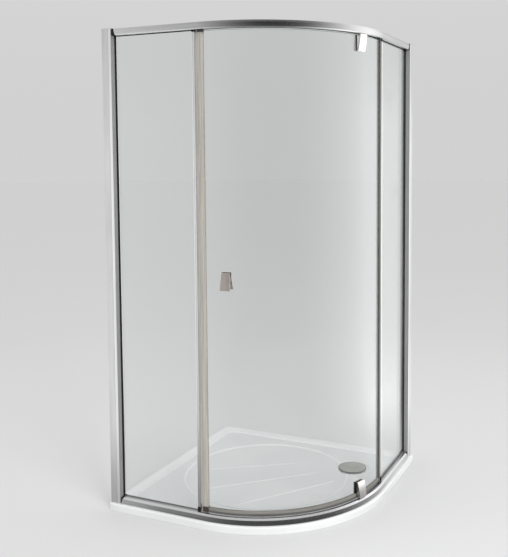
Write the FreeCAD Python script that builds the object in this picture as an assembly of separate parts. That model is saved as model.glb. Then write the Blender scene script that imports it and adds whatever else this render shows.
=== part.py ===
import FreeCAD, Part
import math
import os
from FreeCAD import Vector

# Quadrant shower enclosure with a curved pivot door on a low tray, in millimetres.
# The origin is the middle of the tray's footprint on the floor, +Z is up.
# The two walls stand behind the planes x = -tray_side/2 and y = +tray_side/2,
# and the rounded corner with the door faces +x, -y.
# Sections are drawn as (inset, height): inset runs inwards from the outer face
# of the frame, height runs up from the top of the tray's rim.

# --- tray ---
tray_side = 992.0
tray_height = 30.0
tray_ledge = 12.0
tray_edge_round = 6.0
wall_rim = 40.0
front_rim_margin = 7.0
basin_depth = 5.0
basin_slope = 14.0
basin_corner = 45.0
dish_depth = 4.0
dish_radius = 365.0
dish_slope = 16.0
dish_middle_x = -45.0
dish_middle_y = 33.0
ridge_width = 7.0
ridge_rise = 1.0
ridge_pitch = 155.0
ridge_lengths = [340.0, 470.0, 490.0]

# --- waste ---
waste_x = 283.0
waste_y = 248.0
waste_hole_radius = 45.0
sump_radius = 74.0
sump_height = 19.0
flange_radius = 60.0
flange_thickness = 2.0
flange_setback = 1.0
waste_gasket_thickness = 1.5
cover_radius = 62.5
cover_thickness = 2.5
cover_foot_height = 2.0
cover_foot_radius = 3.0
cover_foot_count = 4
cover_spigot_gap = 1.0
cover_spigot_wall = 2.0
cover_spigot_length = 4.5
cover_rim_round = 1.0

# --- frame ---
frame_height = 1900.0
frame_radius = 550.0
rail_height = 26.0
rail_nose = 16.0
rail_lean = 1.5
rail_round = 5.0
rail_skin = 2.0
channel_width = 16.0
channel_floor = 8.0
rail_back = 3.0
end_piece_foot = 1.0
end_piece_head = 9.0

# --- uprights at the walls ---
wall_profile_width = 30.0
wall_profile_skin = 2.0
slide_clearance = 0.2
stile_leg_clearance = 1.2
stile_front = 13.5
stile_return = 2.5
stile_skin = 2.0
upright_gap = 0.3
cap_thickness = 2.0
gasket_showing = 7.0
glass_in_stile = 13.0
wall_hole_radius = 3.0
wall_hole_end = 120.0
wall_hole_count = 4
stile_screw_radius = 2.0
stile_screw_head = 3.8
stile_screw_head_height = 2.2
stile_screw_length = 9.0
stile_screw_end = 210.0
stile_screw_count = 3

# --- glass and posts ---
glass_thickness = 6.0
seat_clearance = 4.0
gasket_lip = 5.0
gasket_lip_slope = 1.0
split_before_bend = 16.0
meeting_gap = 0.4
magnet_width = 4.5
magnet_depth = 10.0
post_width = 13.0
post_depth = 14.0
post_grip = 9.0
tail_gap = 2.0

# --- door ---
door_lift = 4.0
door_profile_width = 25.0
door_profile_depth = 13.0
door_profile_nose = 4.5
tail_profile_width = 14.0
door_rail_gap = 2.0
drip_leg = 1.5
drip_height = 18.0
drip_web = 1.6
drip_fin = 1.5
drip_fin_reach = 1.2
sill_strip_top = 24.0
sill_strip_thickness = 3.0
strip_fit = 0.3

# --- pivot hinges ---
hinge_angle = -18.0
hinge_width = 45.0
hinge_height = 66.0
hinge_foot_depth = 17.0
hinge_end_depth = 6.0
hinge_bulge = 2.0
hinge_curve_ratio = 3.0
hinge_round = 2.5
hinge_gap = 0.3
hinge_side_gap = 1.0
inner_plate_thickness = 6.0
inner_plate_height = 50.0
pad_thickness = 2.0
hinge_pad_margin = 1.0
pivot_inset = 10.0
pin_radius = 2.5
pin_play = 0.05
pin_in_plate = 18.0
pin_in_bush = 11.0
bush_radius = 4.0
bush_length = 13.0
bush_flange_radius = 5.0
bush_flange_thickness = 1.0
hinge_screw_spread = 12.0
hinge_screw_height = 44.0

# --- handle ---
handle_angle = -79.6
handle_top = 966.0
handle_height = 66.0
handle_top_width = 34.0
handle_bottom_width = 41.0
handle_root_height = 28.0
handle_root_depth = 6.0
handle_flare = 12.0
handle_plate = 3.5
handle_round = 1.5
handle_undercut = 1.0
handle_pad_height = 45.0
handle_pad_margin = 1.0
handle_pad_round = 2.0
handle_screw_spread = 9.0
handle_screw_drop = 14.0

# --- glass screws ---
screw_radius = 2.5
screw_play = 0.3
screw_head_radius = 4.5
screw_head_height = 2.8
screw_head_play = 0.2
screw_bite = 4.0
screw_key_share = 0.6
glass_hole_radius = 5.0

# --- drawing aids ---
shortest_run = 0.001
cut_spare = 1.0
trim_spare = 20.0

# Places worked out from the sizes above.
half_side = tray_side / 2
frame_face = half_side - tray_ledge
bend_x = frame_face - frame_radius
bend_y = -bend_x
straight = half_side + bend_x
bend_length = math.radians(90) * frame_radius
line_length = 2 * straight + bend_length
base = tray_height
channel_far = rail_nose + channel_width
rail_depth = channel_far + rail_back
glass_near = rail_nose + (channel_width - glass_thickness) / 2
glass_far = glass_near + glass_thickness
glass_middle = (glass_near + glass_far) / 2
split = straight - split_before_bend
post_end = split - meeting_gap / 2 - magnet_width
post_start = post_end - post_width
stile_face_end = wall_profile_width + upright_gap + stile_front
stile_end = stile_face_end + stile_return
rail_start = stile_end + upright_gap
fixed_glass_start = stile_end - glass_in_stile
fixed_glass_end = post_start + post_grip
door_bottom = rail_height + door_lift
door_start = split + meeting_gap / 2 + magnet_width
door_glass_start = door_start + door_profile_nose
tail_end = line_length - split - tail_gap
door_glass_end = tail_end - door_profile_nose
hinge_bottom = rail_height + bush_flange_thickness + hinge_gap
pad_near = glass_near - pad_thickness
pad_far = glass_far + pad_thickness


def rounded_outline(corners):
    """Closed list of edges through (x, y) or (x, y, radius) corners in the plane z = 0."""
    count = len(corners)
    starts = []
    ends = []
    bows = []
    for index, corner in enumerate(corners):
        here = Vector(corner[0], corner[1], 0)
        radius = corner[2] if len(corner) > 2 else 0.0
        before = Vector(*corners[index - 1][:2], 0) - here
        after = Vector(*corners[(index + 1) % count][:2], 0) - here
        before.normalize()
        after.normalize()
        if radius == 0.0:
            starts.append(here)
            ends.append(here)
            bows.append(None)
            continue
        half_turn = before.getAngle(after) / 2
        setback = radius / math.tan(half_turn)
        middle_way = before + after
        middle_way.normalize()
        hub = here + middle_way * (radius / math.sin(half_turn))
        starts.append(here + before * setback)
        ends.append(here + after * setback)
        bows.append(hub - middle_way * radius)
    edges = []
    for index in range(count):
        if bows[index] is not None:
            edges.append(Part.Arc(starts[index], bows[index], ends[index]).toShape())
        following = starts[(index + 1) % count]
        if ends[index].distanceToPoint(following) > 1e-6:
            edges.append(Part.LineSegment(ends[index], following).toShape())
    return Part.Wire(edges)


def upright_block(corners, low, high):
    """Prism over a plan outline, between two heights above the floor."""
    face = Part.Face(rounded_outline(corners))
    face.translate(Vector(0, 0, low))
    return face.extrude(Vector(0, 0, high - low))


def section_face(corners):
    """Section in (inset, height), standing where the left straight meets the bend."""
    face = Part.Face(rounded_outline(corners))
    face.rotate(Vector(0, 0, 0), Vector(1, 0, 0), 90)
    face.rotate(Vector(0, 0, 0), Vector(0, 0, 1), 90)
    face.translate(Vector(bend_x, -frame_face, base))
    return face


def turned(shape, angle):
    """Copy of a shape turned about the upright axis of the bend."""
    copy = shape.copy()
    copy.rotate(Vector(bend_x, bend_y, 0), Vector(0, 0, 1), angle)
    return copy


def moved(shape, x=0.0, y=0.0, z=0.0):
    copy = shape.copy()
    copy.translate(Vector(x, y, z))
    return copy


def joined(pieces):
    whole = pieces[0]
    for piece in pieces[1:]:
        whole = whole.fuse(piece)
    return whole.removeSplitter() if len(pieces) > 1 else whole


def line_angle(place):
    """Angle about the bend's axis for a place on the bend, from 0 at its start."""
    return math.degrees((place - straight) / frame_radius)


def follow(corners, start, end):
    """Section carried along the frame's line, from one distance off the left wall to another."""
    face = section_face(corners)
    bend_end = straight + bend_length
    pieces = []
    if start < straight - shortest_run:
        stop = min(end, straight)
        pieces.append(moved(face, x=start - straight).extrude(Vector(stop - start, 0, 0)))
    if start < bend_end - shortest_run and end > straight + shortest_run:
        first = line_angle(max(start, straight))
        last = line_angle(min(end, bend_end))
        axis_foot = Vector(bend_x, bend_y, 0)
        pieces.append(turned(face, first).revolve(axis_foot, Vector(0, 0, 1), last - first))
    if end > bend_end + shortest_run:
        begin = max(start, bend_end)
        shifted = moved(turned(face, 90), y=begin - bend_end)
        pieces.append(shifted.extrude(Vector(0, end - begin, 0)))
    return joined(pieces)


def rectangle(near, far, low, high):
    return [(near, low), (far, low), (far, high), (near, high)]


def right_hand(shape):
    """The same piece on the right-hand wall, mirrored over the enclosure's diagonal."""
    return shape.mirror(Vector(0, 0, 0), Vector(1, 1, 0))


def upside_down(shape):
    """The same piece at the head of the frame, mirrored over the frame's middle height."""
    return shape.mirror(Vector(0, 0, base + frame_height / 2), Vector(0, 0, 1))


def upright_rod(x, y, low, high, radius):
    return Part.makeCylinder(radius, high - low, Vector(x, y, low), Vector(0, 0, 1))


# --- tray and waste ---

def tray_outline(wall_inset, front_inset, corner):
    low = -half_side + front_inset
    high = half_side - wall_inset
    left = -half_side + wall_inset
    right = half_side - front_inset
    bend = frame_radius + tray_ledge - front_inset
    return [(left, low, corner), (right, low, bend), (right, high, corner), (left, high, corner)]


def rounded_tray_body():
    plan = [(-half_side, -half_side), (half_side, -half_side, frame_radius + tray_ledge),
            (half_side, half_side), (-half_side, half_side)]
    body = upright_block(plan, 0, tray_height)
    front_edges = []
    for edge in body.Edges:
        box = edge.BoundBox
        on_top = box.ZMin > tray_height - 0.01
        on_left = box.XMax < -half_side + 0.01
        at_back = box.YMin > half_side - 0.01
        if on_top and not on_left and not at_back:
            front_edges.append(edge)
    return body.makeFillet(tray_edge_round, front_edges)


def basin_cut():
    front_rim = tray_ledge + rail_depth + front_rim_margin
    rim = Part.Wire(rounded_outline(tray_outline(wall_rim, front_rim, basin_corner)))
    floor_corner = basin_corner - basin_slope
    floor = Part.Wire(rounded_outline(
        tray_outline(wall_rim + basin_slope, front_rim + basin_slope, floor_corner)))
    rim.translate(Vector(0, 0, tray_height))
    floor.translate(Vector(0, 0, tray_height - basin_depth))
    return Part.makeLoft([floor, rim], True, True)


def shower_tray():
    basin_floor = tray_height - basin_depth
    dish_floor = basin_floor - dish_depth
    dish_middle = Vector(dish_middle_x, dish_middle_y, dish_floor)
    dish = Part.makeCone(dish_radius - dish_slope, dish_radius, dish_depth, dish_middle)
    sump = upright_rod(waste_x, waste_y, sump_height, tray_height, sump_radius)
    hole = upright_rod(waste_x, waste_y, -cut_spare, tray_height, waste_hole_radius)
    tray = rounded_tray_body().cut(basin_cut()).cut(dish).cut(sump).cut(hole)
    for index, length in enumerate(ridge_lengths):
        side_step = (index - 1) * ridge_pitch
        ridge = Part.makeBox(
            length, ridge_width, ridge_rise + cut_spare,
            Vector(-length / 2, -ridge_width / 2 - side_step, dish_floor - cut_spare))
        ridge.rotate(Vector(0, 0, 0), Vector(0, 0, 1), 45)
        ridge.translate(Vector(dish_middle_x, dish_middle_y - ridge_width, 0))
        tray = tray.fuse(ridge)
    return tray.removeSplitter()


def waste_ring(low, high):
    outer = upright_rod(waste_x, waste_y, low, high, flange_radius)
    return outer.cut(upright_rod(waste_x, waste_y, low, high, waste_hole_radius + flange_setback))


def waste_gasket():
    return waste_ring(sump_height, sump_height + waste_gasket_thickness)


def waste_flange():
    low = sump_height + waste_gasket_thickness
    return waste_ring(low, low + flange_thickness)


def waste_cover():
    seat = sump_height + waste_gasket_thickness + flange_thickness
    disc_low = seat + cover_foot_height
    disc = upright_rod(waste_x, waste_y, disc_low, disc_low + cover_thickness, cover_radius)
    rims = [edge for edge in disc.Edges if edge.BoundBox.ZMin > disc_low + cover_thickness - 0.01]
    cover = disc.makeFillet(cover_rim_round, rims)
    spigot_radius = waste_hole_radius - cover_spigot_gap
    spigot_low = disc_low - cover_spigot_length
    spigot = upright_rod(waste_x, waste_y, spigot_low, disc_low, spigot_radius)
    bore = upright_rod(waste_x, waste_y, spigot_low, disc_low, spigot_radius - cover_spigot_wall)
    cover = cover.fuse(spigot.cut(bore))
    foot_circle = (waste_hole_radius + flange_radius) / 2
    for index in range(cover_foot_count):
        turn = math.radians(45 + 360 * index / cover_foot_count)
        foot_x = waste_x + foot_circle * math.cos(turn)
        foot_y = waste_y + foot_circle * math.sin(turn)
        cover = cover.fuse(upright_rod(foot_x, foot_y, seat, disc_low, cover_foot_radius))
    return cover.removeSplitter()


# --- rails ---

def rail_envelope():
    """Outer line of the bottom rail's section: rounded nose, glass channel, back wall."""
    return [(0, 0), (rail_lean, rail_height, rail_round), (rail_nose, rail_height),
            (rail_nose, channel_floor), (channel_far, channel_floor),
            (channel_far, rail_height), (rail_depth, rail_height), (rail_depth, 0)]


def nose_chamber():
    top = rail_height - rail_skin
    return [(rail_skin, rail_skin), (rail_lean + rail_skin, top, rail_round - rail_skin),
            (rail_nose - rail_skin, top), (rail_nose - rail_skin, rail_skin)]


def floor_chamber():
    return rectangle(rail_nose, channel_far, rail_skin, channel_floor - rail_skin)


def end_wedge():
    """Slanted end of the left straight, thin at the rail's foot and wide at its head."""
    left = -half_side + rail_start
    low_x = left + end_piece_foot
    high_x = left + end_piece_head
    corners = [(left, 0), (low_x, 0), (high_x, rail_height), (left, rail_height)]
    face = Part.Face(rounded_outline(corners))
    face.rotate(Vector(0, 0, 0), Vector(1, 0, 0), 90)
    face.translate(Vector(0, -frame_face + rail_depth, base))
    return face.extrude(Vector(0, -rail_depth, 0))


def pivot_point():
    reach = frame_radius - pivot_inset
    turn = math.radians(hinge_angle)
    return bend_x + reach * math.cos(turn), bend_y + reach * math.sin(turn)


def bottom_rail():
    rail = follow(rail_envelope(), rail_start, line_length - rail_start)
    for chamber in (nose_chamber(), floor_chamber()):
        rail = rail.cut(follow(chamber, rail_start, line_length - rail_start))
    wedge = end_wedge()
    rail = rail.cut(wedge).cut(right_hand(wedge))
    pivot_x, pivot_y = pivot_point()
    top = base + rail_height
    low = top - rail_skin - cut_spare
    return rail.cut(upright_rod(pivot_x, pivot_y, low, top + cut_spare, bush_radius))


def end_piece():
    plug = follow(rail_envelope(), rail_start, rail_start + end_piece_head)
    return plug.common(end_wedge())


def pivot_bush():
    pivot_x, pivot_y = pivot_point()
    top = base + rail_height
    bush = upright_rod(pivot_x, pivot_y, top - bush_length, top, bush_radius)
    flange_top = top + bush_flange_thickness
    bush = bush.fuse(upright_rod(pivot_x, pivot_y, top, flange_top, bush_flange_radius))
    bore_low = flange_top - pin_in_bush
    bore = upright_rod(pivot_x, pivot_y, bore_low, flange_top, pin_radius + pin_play)
    return bush.cut(bore).removeSplitter()


def sill_strip():
    """Strip that closes the rail's channel across the doorway."""
    near = rail_nose + strip_fit
    far = channel_far - strip_fit
    low = sill_strip_top - sill_strip_thickness
    leg = rail_skin
    section = [(near, channel_floor), (near + leg, channel_floor), (near + leg, low),
               (far - leg, low), (far - leg, channel_floor), (far, channel_floor),
               (far, sill_strip_top), (near, sill_strip_top)]
    start = post_end + strip_fit
    return follow(section, start, line_length - start)


# --- uprights at the walls, drawn on the left wall ---

def left_x(place):
    return -half_side + place


def front_y(inset):
    return -frame_face + inset


def plan_block(corners, low, high):
    """Prism over (distance off the wall, inset) corners, between heights above the tray's rim."""
    placed = [(left_x(corner[0]), front_y(corner[1])) + tuple(corner[2:]) for corner in corners]
    return upright_block(placed, base + low, base + high)


def wall_profile():
    skin = wall_profile_skin
    body = plan_block(rectangle(0, wall_profile_width, 0, rail_depth), 0, frame_height)
    inside = plan_block(rectangle(skin, wall_profile_width, skin, rail_depth - skin), 0, frame_height)
    profile = body.cut(inside)
    for index in range(wall_hole_count):
        share = index / (wall_hole_count - 1)
        height = base + wall_hole_end + share * (frame_height - 2 * wall_hole_end)
        profile = profile.cut(Part.makeCylinder(
            wall_hole_radius, skin + 2 * cut_spare,
            Vector(left_x(-cut_spare), front_y(rail_depth / 2), height), Vector(1, 0, 0)))
    return profile


def stile_screw_heights():
    heights = []
    for index in range(stile_screw_count):
        share = index / (stile_screw_count - 1)
        heights.append(base + stile_screw_end + share * (frame_height - 2 * stile_screw_end))
    return heights


def frame_stile():
    """Upright of the frame: two legs in the wall profile, a box and the glass pocket."""
    shell_near = wall_profile_skin + slide_clearance
    shell_far = rail_depth - wall_profile_skin - slide_clearance
    leg_start = wall_profile_skin + stile_leg_clearance
    web = wall_profile_width + upright_gap
    tongue = plan_block(rectangle(leg_start, web + stile_skin, shell_near, shell_far), 0, frame_height)
    hollow = plan_block(rectangle(leg_start, web, shell_near + stile_skin, shell_far - stile_skin),
                        0, frame_height)
    box = [(web, 0), (stile_face_end, 0), (stile_end, glass_near - stile_skin),
           (stile_end, rail_depth), (web, rail_depth)]
    stile = tongue.fuse(plan_block(box, 0, frame_height)).cut(hollow)
    pocket = rectangle(fixed_glass_start - upright_gap, stile_end, glass_near - stile_skin,
                       glass_far + stile_skin)
    stile = stile.cut(plan_block(pocket, 0, frame_height))
    for height in stile_screw_heights():
        stile = stile.cut(stile_screw_hole(height))
    return stile.removeSplitter()


def stile_screw_place():
    return left_x(wall_profile_width / 2), front_y(rail_depth)


def stile_screw_hole(height):
    x, y = stile_screw_place()
    return Part.makeCylinder(stile_screw_radius, stile_screw_length, Vector(x, y, height),
                             Vector(0, -1, 0))


def stile_screws():
    """Screws through the wall profile's inner flange into the stile's leg."""
    x, y = stile_screw_place()
    screws = []
    for height in stile_screw_heights():
        head = Part.makeCylinder(stile_screw_head, stile_screw_head_height, Vector(x, y, height),
                                 Vector(0, 1, 0))
        screws.append(head.fuse(stile_screw_hole(height)).removeSplitter())
    return Part.makeCompound(screws)


def drilled_wall_profile():
    profile = wall_profile()
    for height in stile_screw_heights():
        profile = profile.cut(stile_screw_hole(height))
    return profile


def upright_cap():
    plan = [(0, 0), (stile_face_end, 0), (stile_end, glass_near - stile_skin),
            (stile_end, rail_depth), (0, rail_depth)]
    return plan_block(plan, frame_height, frame_height + cap_thickness)


# --- fixed panes and their gaskets, drawn on the left ---

def fixed_glass():
    low = channel_floor + seat_clearance
    high = frame_height - low
    return follow(rectangle(glass_near, glass_far, low, high), fixed_glass_start, fixed_glass_end)


def stile_gasket():
    """Black channel gasket round the pane's edge in the stile, standing out as a lip."""
    low = rail_height
    high = frame_height - rail_height
    outer = follow(rectangle(glass_near - stile_skin, glass_far + stile_skin, low, high),
                   fixed_glass_start, stile_end + gasket_showing)
    pane = follow(rectangle(glass_near, glass_far, low, high),
                  fixed_glass_start, stile_end + gasket_showing)
    return outer.cut(pane)


def rail_gasket():
    """Channel gasket under the fixed pane, with a lip above the rail on both faces."""
    section = [(rail_nose, channel_floor), (channel_far, channel_floor),
               (channel_far, rail_height),
               (channel_far - gasket_lip_slope, rail_height + gasket_lip),
               (glass_far, rail_height + gasket_lip),
               (glass_far, channel_floor + seat_clearance),
               (glass_near, channel_floor + seat_clearance),
               (glass_near, rail_height + gasket_lip),
               (rail_nose + gasket_lip_slope, rail_height + gasket_lip),
               (rail_nose, rail_height)]
    start = rail_start + end_piece_head
    return follow(section, start, post_start)


def post():
    """Aluminium post on the fixed pane's free edge, standing in the rails' channels."""
    near = glass_middle - post_depth / 2
    far = glass_middle + post_depth / 2
    low = channel_floor
    high = frame_height - channel_floor
    body = follow(rectangle(near, far, low, high), post_start, post_end)
    pane = follow(rectangle(glass_near, glass_far, low + seat_clearance, high - seat_clearance),
                  post_start, fixed_glass_end)
    return body.cut(pane)


def post_seal():
    near = glass_middle - magnet_depth / 2
    low = rail_height + door_rail_gap
    section = rectangle(near, near + magnet_depth, low, frame_height - low)
    return follow(section, post_end, post_end + magnet_width)


# --- curved door ---

def radial_rod(angle, spread, height, near, far, radius):
    """Rod square to the bend at an angle, a little to one side of it, from inset to inset."""
    rod = Part.makeCylinder(radius, far - near,
                            Vector(bend_x + spread, bend_y - frame_radius + near, base + height),
                            Vector(0, 1, 0))
    return turned(rod, angle + 90)


def hinge_screw_spots():
    height = hinge_bottom + hinge_screw_height
    return [(hinge_angle, side * hinge_screw_spread, height) for side in (-1, 1)]


def handle_screw_spots():
    height = handle_top - handle_screw_drop
    return [(handle_angle, side * handle_screw_spread, height) for side in (-1, 1)]


def door_glass():
    section = rectangle(glass_near, glass_far, door_bottom, frame_height - door_bottom)
    pane = follow(section, door_glass_start, door_glass_end)
    spots = hinge_screw_spots() + handle_screw_spots()
    for angle, spread, height in hinge_screw_spots():
        spots.append((angle, spread, frame_height - height))
    for angle, spread, height in spots:
        pane = pane.cut(radial_rod(angle, spread, height, glass_near - cut_spare,
                                   glass_far + cut_spare, glass_hole_radius))
    return pane


def door_edge_profile(start, end, pocket_start, pocket_end):
    near = glass_middle - door_profile_depth / 2
    low = rail_height + door_rail_gap
    high = frame_height - low
    body = follow(rectangle(near, near + door_profile_depth, low, high), start, end)
    pane = follow(rectangle(glass_near, glass_far, door_bottom, frame_height - door_bottom),
                  pocket_start, pocket_end)
    return body.cut(pane)


def door_closing_profile():
    return door_edge_profile(door_start, door_start + door_profile_width,
                             door_glass_start, door_start + door_profile_width)


def door_tail_profile():
    return door_edge_profile(tail_end - tail_profile_width, tail_end,
                             tail_end - tail_profile_width, door_glass_end)


def door_magnet():
    near = glass_middle - magnet_depth / 2
    low = rail_height + door_rail_gap
    section = rectangle(near, near + magnet_depth, low, frame_height - low)
    return follow(section, door_start - magnet_width, door_start)


def drip_section():
    """U over the door's lower edge with a thin fin below it."""
    near = glass_near - drip_leg
    far = glass_far + drip_leg
    top = door_bottom + drip_height
    web = door_bottom - drip_web
    fin = web - drip_fin_reach
    fin_near = glass_middle - drip_fin / 2
    fin_far = glass_middle + drip_fin / 2
    return [(near, web), (fin_near, web), (fin_near, fin), (fin_far, fin), (fin_far, web),
            (far, web), (far, top), (glass_far, top), (glass_far, door_bottom),
            (glass_near, door_bottom), (glass_near, top), (near, top)]


def hinge_place(side):
    """Distance along the frame's line of one side of the hinge, with its gap."""
    middle = straight + math.radians(90 + hinge_angle) * frame_radius
    widened = frame_radius / (frame_radius - glass_far)
    return middle + side * (hinge_width / 2 + hinge_side_gap) * widened


def long_drip_seal():
    return follow(drip_section(), door_start + door_profile_width, hinge_place(-1))


def short_drip_seal():
    return follow(drip_section(), hinge_place(1), tail_end - tail_profile_width)


# --- plates on the glass: hinges at the foot of the door, handle ---

def plate(section, front, angle):
    """Section swept round the bend and trimmed to a front outline of (across, height)."""
    widest = max(abs(corner[0]) for corner in front)
    near = min(corner[0] for corner in section) - trim_spare
    far = max(corner[0] for corner in section) + trim_spare
    reach = math.degrees((widest + trim_spare) / (frame_radius - far))
    axis_foot = Vector(bend_x, bend_y, 0)
    face = turned(section_face(section), -reach)
    swept = face.revolve(axis_foot, Vector(0, 0, 1), 2 * reach)
    trim = Part.Face(rounded_outline(front))
    trim.rotate(Vector(0, 0, 0), Vector(1, 0, 0), 90)
    trim.translate(Vector(bend_x, -frame_face + near, base))
    trimmed = swept.common(trim.extrude(Vector(0, far - near, 0)))
    return turned(trimmed, angle + 90)


def front_rectangle(width, low, high, corner):
    return [(-width / 2, low, corner), (width / 2, low, corner),
            (width / 2, high, corner), (-width / 2, high, corner)]


def bored(piece, spots, near, far, radius):
    for angle, spread, height in spots:
        piece = piece.cut(radial_rod(angle, spread, height, near, far, radius))
    return piece


def hinge_outer_plate():
    """Flared wedge: thin at the glass end, deep over the rail, with the pin's hole below."""
    top = hinge_bottom + hinge_height
    foot_near = pad_near - hinge_foot_depth
    top_near = pad_near - hinge_end_depth
    middle_near = (foot_near + top_near) / 2 - hinge_bulge
    middle_height = (hinge_bottom + top) / 2
    section = [(pad_near, hinge_bottom), (foot_near, hinge_bottom),
               (middle_near, middle_height, hinge_curve_ratio * hinge_height),
               (top_near, top, hinge_round),
               (pad_near, top)]
    body = plate(section, front_rectangle(hinge_width, hinge_bottom, top, hinge_round), hinge_angle)
    pivot_x, pivot_y = pivot_point()
    low = base + hinge_bottom
    body = body.cut(upright_rod(pivot_x, pivot_y, low, low + pin_in_plate, pin_radius))
    return bored(body, hinge_screw_spots(), pad_near - screw_bite, pad_near + cut_spare,
                 screw_radius)


def hinge_pad(near):
    low = door_bottom + hinge_pad_margin
    high = hinge_bottom + hinge_height - hinge_pad_margin
    section = rectangle(near, near + pad_thickness, low, high)
    pad = plate(section, front_rectangle(hinge_width, low, high, hinge_round), hinge_angle)
    return bored(pad, hinge_screw_spots(), near - cut_spare,
                 near + pad_thickness + cut_spare, screw_radius + screw_play)


def hinge_inner_plate():
    high = hinge_bottom + hinge_height
    low = high - inner_plate_height
    far = pad_far + inner_plate_thickness
    section = rectangle(pad_far, far, low, high)
    body = plate(section, front_rectangle(hinge_width, low, high, hinge_round), hinge_angle)
    return clamped_plate(body, hinge_screw_spots(), far)


def clamped_plate(body, spots, far):
    """Screw holes through an inner plate, with seats for the heads in its inner face."""
    top = far + handle_flare
    body = bored(body, spots, pad_far - cut_spare, top, screw_radius + screw_play)
    seat = far - screw_head_height - screw_head_play
    return bored(body, spots, seat, top, screw_head_radius + screw_head_play)


def glass_screws(spots, far):
    """Screws from the inner plate through the glass into the outer plate."""
    screws = []
    for angle, spread, height in spots:
        head_near = far - screw_head_height - screw_head_play
        shank = radial_rod(angle, spread, height, pad_near - screw_bite, head_near, screw_radius)
        head = radial_rod(angle, spread, height, head_near, head_near + screw_head_height,
                          screw_head_radius)
        key = radial_rod(angle, spread, height, head_near + screw_head_height / 2,
                         head_near + screw_head_height, screw_radius * screw_key_share)
        screws.append(shank.fuse(head).cut(key).removeSplitter())
    return Part.makeCompound(screws)


def hinge_screws():
    return glass_screws(hinge_screw_spots(), pad_far + inner_plate_thickness)


def hinge_pin():
    pivot_x, pivot_y = pivot_point()
    low = base + hinge_bottom
    return upright_rod(pivot_x, pivot_y, low - pin_in_bush, low + pin_in_plate, pin_radius)


def handle_front():
    top = handle_top
    low = handle_top - handle_height
    wide = handle_bottom_width / 2
    narrow = handle_top_width / 2
    return [(-wide, low, handle_round), (wide, low, handle_round),
            (narrow, top, handle_round), (-narrow, top, handle_round)]


def handle_section(seat, outwards):
    """Wedge root against the pad and a flap that flares away from the glass."""
    top = handle_top
    low = handle_top - handle_height
    root_low = handle_top - handle_root_height
    root_face = seat + outwards * handle_root_depth
    tip = root_face + outwards * handle_flare
    flap_back = tip - outwards * handle_plate
    return [(seat, top), (root_face, top, handle_round), (tip, low), (flap_back, low),
            (seat + outwards * handle_undercut, root_low), (seat, root_low)]


def handle_outer():
    body = plate(handle_section(pad_near, -1), handle_front(), handle_angle)
    return bored(body, handle_screw_spots(), pad_near - screw_bite, pad_near + cut_spare,
                 screw_radius)


def handle_inner():
    body = plate(handle_section(pad_far, 1), handle_front(), handle_angle)
    return clamped_plate(body, handle_screw_spots(), pad_far + handle_root_depth)


def handle_pad(near):
    high = handle_top + handle_pad_margin
    low = high - handle_pad_height
    width = handle_top_width + 2 * handle_pad_margin
    section = rectangle(near, near + pad_thickness, low, high)
    pad = plate(section, front_rectangle(width, low, high, handle_pad_round), handle_angle)
    return bored(pad, handle_screw_spots(), near - cut_spare,
                 near + pad_thickness + cut_spare, screw_radius + screw_play)


def handle_screws():
    return glass_screws(handle_screw_spots(), pad_far + handle_root_depth)


def build():
    nodes = {
        "shower_tray": shower_tray(),
        "waste_gasket": waste_gasket(),
        "waste_flange": waste_flange(),
        "waste_cover": waste_cover(),
        "bottom_rail": bottom_rail(),
        "sill_strip": sill_strip(),
        "door_glass": door_glass(),
        "door_closing_profile": door_closing_profile(),
        "door_tail_profile": door_tail_profile(),
        "door_magnet": door_magnet(),
        "drip_seal_long": long_drip_seal(),
        "drip_seal_short": short_drip_seal(),
        "handle_outer": handle_outer(),
        "handle_inner": handle_inner(),
        "handle_pad_outer": handle_pad(pad_near),
        "handle_pad_inner": handle_pad(glass_far),
        "handle_screws": handle_screws(),
    }
    nodes["top_rail"] = upside_down(nodes["bottom_rail"])
    both_sides = {
        "wall_profile": drilled_wall_profile(),
        "frame_stile": frame_stile(),
        "stile_screws": stile_screws(),
        "upright_cap": upright_cap(),
        "fixed_glass": fixed_glass(),
        "stile_gasket": stile_gasket(),
        "post": post(),
        "post_seal": post_seal(),
    }
    for name, shape in both_sides.items():
        nodes[name + "_left"] = shape
        nodes[name + "_right"] = right_hand(shape)
    four_corners = {"end_piece": end_piece(), "rail_gasket": rail_gasket()}
    for name, shape in four_corners.items():
        nodes[name + "_bottom_left"] = shape
        nodes[name + "_bottom_right"] = right_hand(shape)
        nodes[name + "_top_left"] = upside_down(shape)
        nodes[name + "_top_right"] = right_hand(upside_down(shape))
    foot_and_head = {
        "pivot_bush": pivot_bush(),
        "hinge_outer_plate": hinge_outer_plate(),
        "hinge_inner_plate": hinge_inner_plate(),
        "hinge_pad_outer": hinge_pad(pad_near),
        "hinge_pad_inner": hinge_pad(glass_far),
        "hinge_pin": hinge_pin(),
        "hinge_screws": hinge_screws(),
    }
    for name, shape in foot_and_head.items():
        nodes[name + "_bottom"] = shape
        nodes[name + "_top"] = upside_down(shape)
    return nodes


os.makedirs("parts", exist_ok=True)
for node_name, node_shape in build().items():
    node_shape.exportStep("parts/" + node_name + ".step")
    print(node_name, len(node_shape.Solids), round(node_shape.Volume / 1000, 2), node_shape.isValid())
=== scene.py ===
import math

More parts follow.
